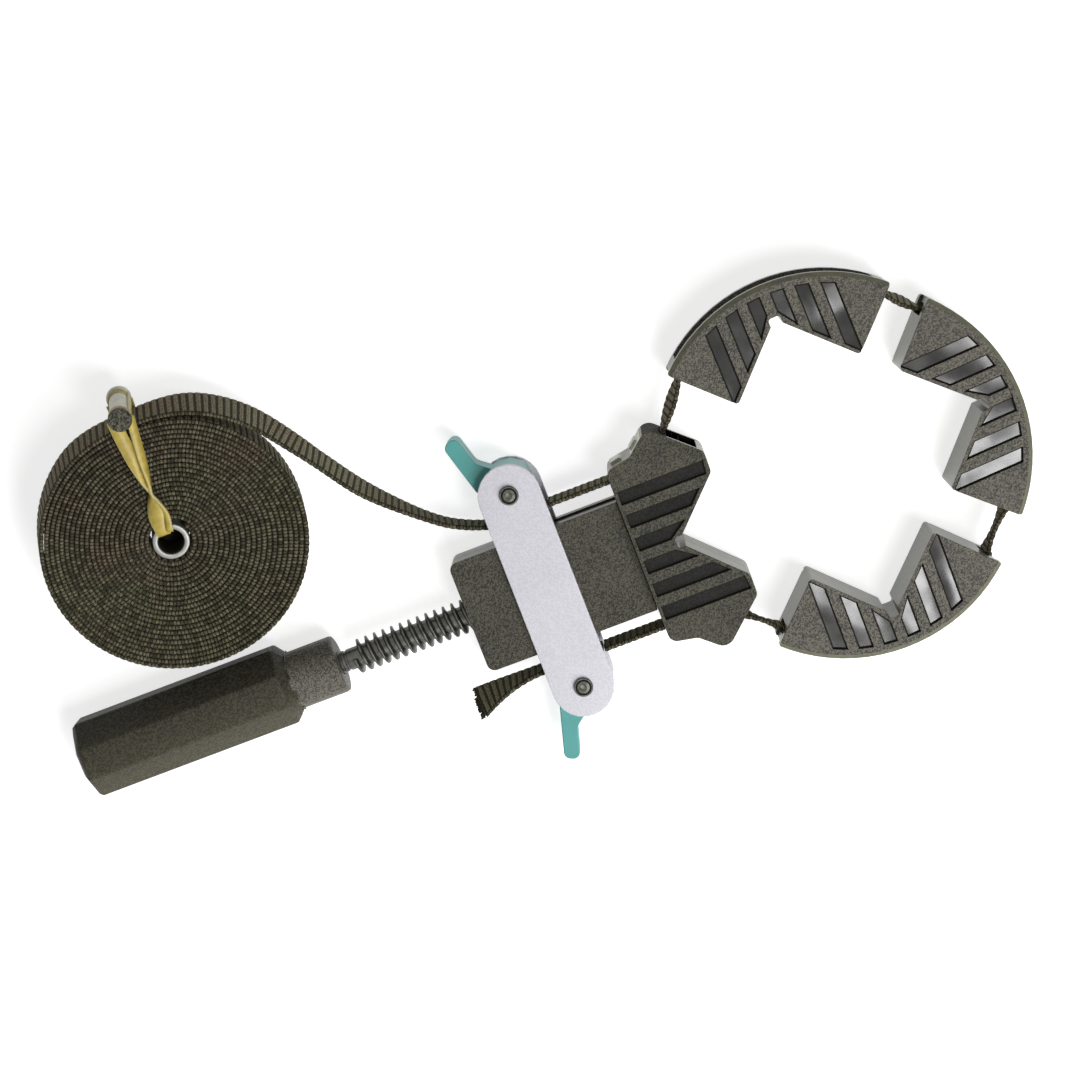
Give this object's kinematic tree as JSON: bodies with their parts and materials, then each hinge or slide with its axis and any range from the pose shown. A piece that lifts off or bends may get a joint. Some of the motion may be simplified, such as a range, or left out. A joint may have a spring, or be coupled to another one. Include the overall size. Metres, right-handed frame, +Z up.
{
  "type": "band clamp",
  "caption": "Band clamp: a woven belt holds loose V jaws and a V head in a ring, cam levers pinch the belt and a threaded spindle with a moulded grip tightens it.",
  "frame": {"origin": "on the head's bottom face, under the spindle axis, midway between the head's body side and the bottom of its V", "axes": "+X along the spindle from the grip to the jaws, +Z up from the face that the jaws, the head and the grip lie on, +Y towards the coil"},
  "size_m": [0.3256, 0.1687, 0.0428],
  "materials": {
    "moulding": "dark warm grey moulding with a fine grain",
    "grip": "darker moulding with a fine grain",
    "steel": "blackened steel",
    "screw": "blackened steel",
    "plate": "pale coated steel with a fine grain",
    "lever": "turquoise moulding",
    "webbing": "ribbed woven webbing",
    "tube": "satin",
    "rubber": "translucent yellow",
    "toggle": "grained",
    "pad": "plain"
  },
  "bodies": {
    "housing": {"body_upper": "moulding", "body_lower": "moulding", "cross_bar": "steel", "plate_top": "plate", "plate_bottom": "plate", "pivot_barrel_upper": "screw", "pivot_barrel_lower": "screw", "pivot_screw_upper": "screw", "pivot_screw_lower": "screw", "belt_run_upper": "webbing", "belt_run_lower": "webbing", "belt_tail": "webbing", "belt_strand": "webbing", "belt_coil": "webbing", "coil_tube": "tube", "toggle": "toggle", "rubber_band": "rubber"},
    "head": {"head_upper": "moulding", "head_lower": "moulding", "thrust_pad": "pad", "belt_in_head_upper": "webbing", "belt_in_head_lower": "webbing"},
    "spindle": {"spindle": "steel", "grip": "grip"},
    "lever_upper": {"lever_upper": "lever"},
    "lever_lower": {"lever_lower": "lever"},
    "belt_1": {"belt_arc_1": "webbing", "belt_span_1": "webbing", "belt_span_2": "webbing"},
    "belt_2": {"belt_arc_2": "webbing"},
    "belt_3": {"belt_arc_3": "webbing", "belt_span_3": "webbing", "belt_span_4": "webbing"},
    "jaw_1": {"jaw_1": "moulding"},
    "jaw_2": {"jaw_2": "moulding"},
    "jaw_3": {"jaw_3": "moulding"}
  },
  "joints": [
    {"name": "head_slide", "type": "slide", "parent": "housing", "child": "head", "axis": [1, 0, 0], "range_m": [0, 0.018], "deforming": ["belt_run_upper", "belt_run_lower"]},
    {"name": "spindle_turn", "type": "hinge", "parent": "head", "child": "spindle", "pos_m": [0, 0, 0.0127], "axis": [1, 0, 0], "range_deg": [0, 2161]},
    {"name": "belt_1_slide", "type": "slide", "parent": "head", "child": "belt_1", "axis": [-0.6122, -0.7907, 0], "range_m": [0, 0.01045], "deforming": ["belt_span_1", "belt_span_2"]},
    {"name": "belt_2_slide", "type": "slide", "parent": "head", "child": "belt_2", "axis": [-0.9768, -0.2143, 0], "range_m": [0, 0.01263]},
    {"name": "belt_3_slide", "type": "slide", "parent": "head", "child": "belt_3", "axis": [-0.7476, 0.6642, 0], "range_m": [0, 0.00737], "deforming": ["belt_span_3", "belt_span_4"]},
    {"name": "jaw_1_swivel", "type": "hinge", "parent": "belt_1", "child": "jaw_1", "pos_m": [0.0612, 0.012, 0.0127], "axis": [0, 0, 1], "range_deg": [-3, 3]},
    {"name": "jaw_2_swivel", "type": "hinge", "parent": "belt_2", "child": "jaw_2", "pos_m": [0.0691, 0.0046, 0.0127], "axis": [0, 0, 1], "range_deg": [-3, 3]},
    {"name": "jaw_3_swivel", "type": "hinge", "parent": "belt_3", "child": "jaw_3", "pos_m": [0.0627, -0.0027, 0.0127], "axis": [0, 0, 1], "range_deg": [-3, 3]},
    {"name": "lever_upper_turn", "type": "hinge", "parent": "housing", "child": "lever_upper", "pos_m": [-0.0382, 0.0332, 0.0127], "axis": [0, 0, 1], "range_deg": [-50, 0]},
    {"name": "lever_lower_turn", "type": "hinge", "parent": "housing", "child": "lever_lower", "pos_m": [-0.0382, -0.0332, 0.0127], "axis": [0, 0, 1], "range_deg": [0, 50]}
  ],
  "couplings": [
    {"joint": "spindle_turn", "follows": "head_slide", "rad_per_m": 2094.4},
    {"joint": "belt_1_slide", "follows": "head_slide", "ratio": 0.5779},
    {"joint": "belt_2_slide", "follows": "head_slide", "ratio": 0.69895},
    {"joint": "belt_3_slide", "follows": "head_slide", "ratio": 0.40665}
  ]
}
